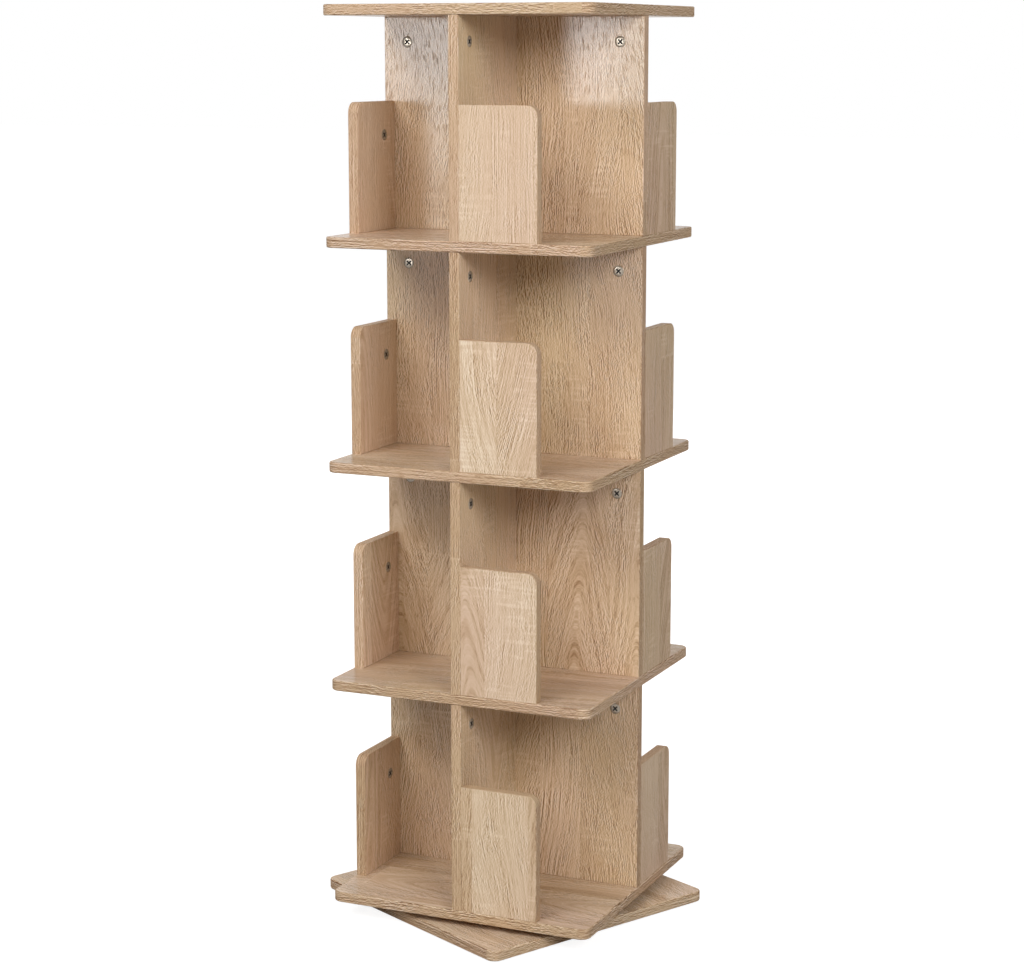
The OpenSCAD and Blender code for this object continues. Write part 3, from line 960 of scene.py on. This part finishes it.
def raw_beech():
    """Bare wood, its fibres drawn out along the upright dowels."""
    finish, tree, shader = new_finish("raw_beech")
    inputs = {"Vector": place_on_piece(tree), "Scale": beech_fibres_per_metre}
    drawn_out = add_step(tree, "ShaderNodeMapping", inputs).outputs["Vector"]
    fibres = noise(tree, drawn_out, 1.0, detail=3, roughness=0.6)
    shades = [(0.3, beech_shade), (0.7, beech_light)]
    tree.links.new(tint(tree, fibres, shades), shader.inputs["Base Color"])
    shader.inputs["Roughness"].default_value = 0.75
    emboss(tree, shader, fibres, beech_relief, strength=0.4)
    return finish


refinish(zinc, "divider_cam_bolts", "divider_screws", "stop_cam_bolts", "stop_screws")
refinish(raw_beech(), "divider_top_dowels", "centre_dowels")


# Studio
# A wide pale floor that runs out to white and keeps the bookcase's shadow, in an even white surround.
# Soft boxes stand to the right, in front and high on the left, with a card for the sheen and two fills.
floor_reach = 30
floor_bounce = 0.5
floor_in_view = 0.35
floor_glow = 0.88
glow_from = 0.4
glow_to = 1.1
surround = 0.02
lamp_distance = 4.5
lamp_aim = Vector((0, 0, 0.75))
scene = bpy.context.scene
scene.view_settings.view_transform = "Standard"

floor_mesh = bpy.data.meshes.new("studio_floor")
floor_corners = [(x * floor_reach, y * floor_reach, 0) for x, y in ((-1, -1), (1, -1), (1, 1), (-1, 1))]
floor_mesh.from_pydata(floor_corners, [], [(0, 1, 2, 3)])
floor = bpy.data.objects.new("studio_floor", floor_mesh)
scene.collection.objects.link(floor)


def seen(tree):
    """1 for what is seen, straight or in a mirror or through glass, and 0 for what only gives light."""
    ray = add_step(tree, "ShaderNodeLightPath", {}).outputs
    either = calc(tree, "MAXIMUM", ray["Is Camera Ray"], ray["Is Glossy Ray"])
    return calc(tree, "MAXIMUM", either, ray["Is Transmission Ray"])


def grey(level):
    return (level, level, level, 1)


floor_finish = bpy.data.materials.new("studio_floor")
floor_finish.use_nodes = True
tree = floor_finish.node_tree
tree.nodes.clear()
floor_place = place_on_piece(tree)
from_axis = add_step(tree, "ShaderNodeVectorMath", {0: floor_place}, operation="LENGTH").outputs["Value"]
to_white = ease(tree, from_axis, glow_from, glow_to, floor_glow, 1.0)
bounce = add_step(tree, "ShaderNodeBsdfDiffuse", {"Color": grey(floor_bounce)}).outputs[0]
shadow = add_step(tree, "ShaderNodeBsdfDiffuse", {"Color": grey(floor_in_view)}).outputs[0]
glow = add_step(tree, "ShaderNodeEmission", {"Color": grey(1), "Strength": to_white}).outputs[0]
in_view = add_step(tree, "ShaderNodeAddShader", {0: shadow, 1: glow}).outputs[0]
chosen = add_step(tree, "ShaderNodeMixShader", {0: seen(tree), 1: bounce, 2: in_view}).outputs[0]
add_step(tree, "ShaderNodeOutputMaterial", {"Surface": chosen})
floor_mesh.materials.append(floor_finish)

world = bpy.data.worlds.new("studio")
scene.world = world
world.use_nodes = True
tree = world.node_tree
tree.nodes.clear()
level = calc(tree, "ADD", calc(tree, "MULTIPLY", seen(tree), 1 - surround), surround)
sky = add_step(tree, "ShaderNodeBackground", {"Color": grey(1), "Strength": level}).outputs[0]
add_step(tree, "ShaderNodeOutputWorld", {"Surface": sky})


def soft_lamp(name, turn_deg, height, width, tall, watts):
    """A soft box on a stand, so many degrees to the right of the front, aimed at the bookcase's middle."""
    turn = math.radians(turn_deg)
    place = Vector((lamp_distance * math.sin(turn), -lamp_distance * math.cos(turn), height))
    lamp_data = bpy.data.lights.new(name, "AREA")
    lamp_data.shape = "RECTANGLE"
    lamp_data.size = width
    lamp_data.size_y = tall
    lamp_data.energy = watts
    lamp = bpy.data.objects.new(name, lamp_data)
    lamp.location = place
    lamp.rotation_euler = (lamp_aim - place).to_track_quat("-Z", "Y").to_euler()
    lamp.visible_camera = False
    scene.collection.objects.link(lamp)
    return lamp


soft_lamp("right_softbox", turn_deg=50, height=2.85, width=2.4, tall=2.0, watts=143)
soft_lamp("front_softbox", turn_deg=0, height=2.85, width=2.4, tall=2.0, watts=57)
soft_lamp("left_softbox", turn_deg=-25, height=4.5, width=2.4, tall=2.0, watts=128)
# the card only shows as a sheen on the top tier, and the fills only lift the left side and the back
sheen_card = soft_lamp("sheen_card", turn_deg=-24, height=1.26, width=1.04, tall=0.44, watts=50)
sheen_card.visible_diffuse = False
left_fill = soft_lamp("left_fill", turn_deg=-100, height=1.8, width=2.7, tall=2.7, watts=27)
left_fill.visible_glossy = False
back_fill = soft_lamp("back_fill", turn_deg=188, height=1.8, width=2.7, tall=2.7, watts=130)
back_fill.visible_glossy = False
